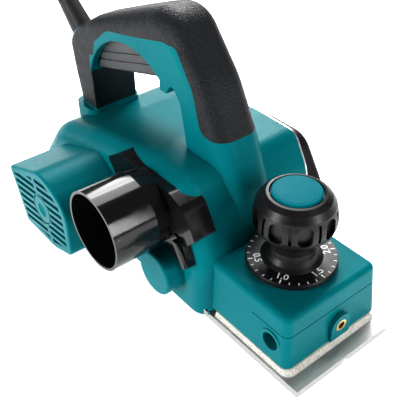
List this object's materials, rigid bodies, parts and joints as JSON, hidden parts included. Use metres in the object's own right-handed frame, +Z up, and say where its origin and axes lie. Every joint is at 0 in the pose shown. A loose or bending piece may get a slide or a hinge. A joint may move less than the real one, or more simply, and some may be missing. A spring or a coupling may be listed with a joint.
{
  "type": "electric hand planer",
  "caption": "Corded electric hand planer with a D-handle, paddle trigger, front depth knob over a sliding front sole, side chip nozzle and belt-driven cutter drum.",
  "frame": {"origin": "on the rear sole, on the soles' centre line, half way along the soles", "axes": "+X forwards towards the depth knob, +Y to the operator's left (the belt side), +Z up, z = 0 is the plane of both soles"},
  "size_m": [0.4479, 0.2354, 0.1879],
  "materials": {
    "teal_plastic": "satin moulded plastic, teal",
    "grip_rubber": "fine-grained black soft grip",
    "gloss_black_plastic": "polished black plastic",
    "black_plastic": "satin black plastic",
    "knob_teal": "smooth teal plastic",
    "trigger_grey": "satin dark grey plastic",
    "machined_aluminium": "machined",
    "cast_aluminium": "sand cast, machined faces",
    "bright_plate": "satin sheet",
    "steel": "machined",
    "brass": "machined",
    "copper": "bare copper",
    "carbon": "pressed carbon",
    "cord_rubber": "satin black rubber",
    "scale_print": "white printed marks and numbers on the depth scale"
  },
  "bodies": {
    "housing": {"main_housing": "teal_plastic", "handle_left_cover": "teal_plastic", "motor_end_cover": "teal_plastic", "grip_rubber_right": "grip_rubber", "grip_rubber_left": "grip_rubber", "chip_nozzle": "gloss_black_plastic", "belt_cover": "black_plastic", "switch_body": "black_plastic", "drum_shroud": "black_plastic", "chip_duct": "black_plastic", "plug_body": "black_plastic", "depth_pointer": "knob_teal", "rear_base": "machined_aluminium", "belt_plate": "bright_plate", "rear_base_screws": "steel", "handle_screws": "steel", "belt_cover_screws": "steel", "drum_bearing_right": "steel", "drum_bearing_left": "steel", "motor_bearing_right": "steel", "motor_bearing_left": "steel", "field_core": "steel", "trigger_pin": "steel", "lever_pin": "steel", "brass_insert": "brass", "brush_holder_front": "brass", "brush_holder_rear": "brass", "plug_pins": "brass", "carbon_brush_front": "carbon", "carbon_brush_rear": "carbon", "cord_guard": "cord_rubber", "power_cord": "cord_rubber", "cord_coil": "cord_rubber", "cord_tail": "cord_rubber", "cord_tie": "cord_rubber", "drive_belt": "cord_rubber"},
    "front_base": {"front_base": "cast_aluminium"},
    "depth_dial": {"depth_screw": "steel", "depth_scale": "black_plastic", "depth_knob": "black_plastic", "knob_cap": "knob_teal"},
    "trigger": {"trigger": "trigger_grey"},
    "lock_lever": {"lock_lever": "black_plastic"},
    "motor_rotor": {"motor_shaft": "steel", "armature_core": "steel", "armature_windings": "copper", "commutator": "copper", "cooling_fan": "black_plastic", "motor_pulley": "black_plastic"},
    "cutter_drum": {"cutter_drum": "machined_aluminium", "planer_blade_1": "steel", "planer_blade_2": "steel", "blade_clamp_1": "machined_aluminium", "blade_clamp_2": "machined_aluminium", "clamp_screws_1": "steel", "clamp_screws_2": "steel", "drum_pulley": "machined_aluminium"}
  },
  "joints": [
    {"name": "depth_knob_turn", "type": "hinge", "parent": "housing", "child": "depth_dial", "pos_m": [0.0925, 0, 0.08], "axis": [0, 0, -1], "range_deg": [0, 300]},
    {"name": "front_base_lift", "type": "slide", "parent": "housing", "child": "front_base", "axis": [0, 0, 1], "range_m": [0, 0.0025]},
    {"name": "trigger_press", "type": "hinge", "parent": "housing", "child": "trigger", "pos_m": [-0.0165, 0, 0.137], "axis": [0, 1, 0], "range_deg": [0, 4], "stiffness_Nm_per_rad": 3, "springref_deg": -5.73},
    {"name": "lock_lever_press", "type": "hinge", "parent": "housing", "child": "lock_lever", "pos_m": [0.003, 0, 0.141], "axis": [0, 1, 0], "range_deg": [0, 12], "stiffness_Nm_per_rad": 0.2, "springref_deg": -5.73},
    {"name": "drum_spin", "type": "hinge", "parent": "housing", "child": "cutter_drum", "pos_m": [0.0305, 0, 0.028], "axis": [0, 1, 0], "continuous": true},
    {"name": "motor_spin", "type": "hinge", "parent": "housing", "child": "motor_rotor", "pos_m": [-0.058, 0, 0.0445], "axis": [0, 1, 0], "continuous": true}
  ],
  "couplings": [
    {"joint": "depth_knob_turn", "follows": "front_base_lift", "rad_per_m": 2094.4},
    {"joint": "motor_spin", "follows": "drum_spin", "ratio": 1.5556}
  ]
}
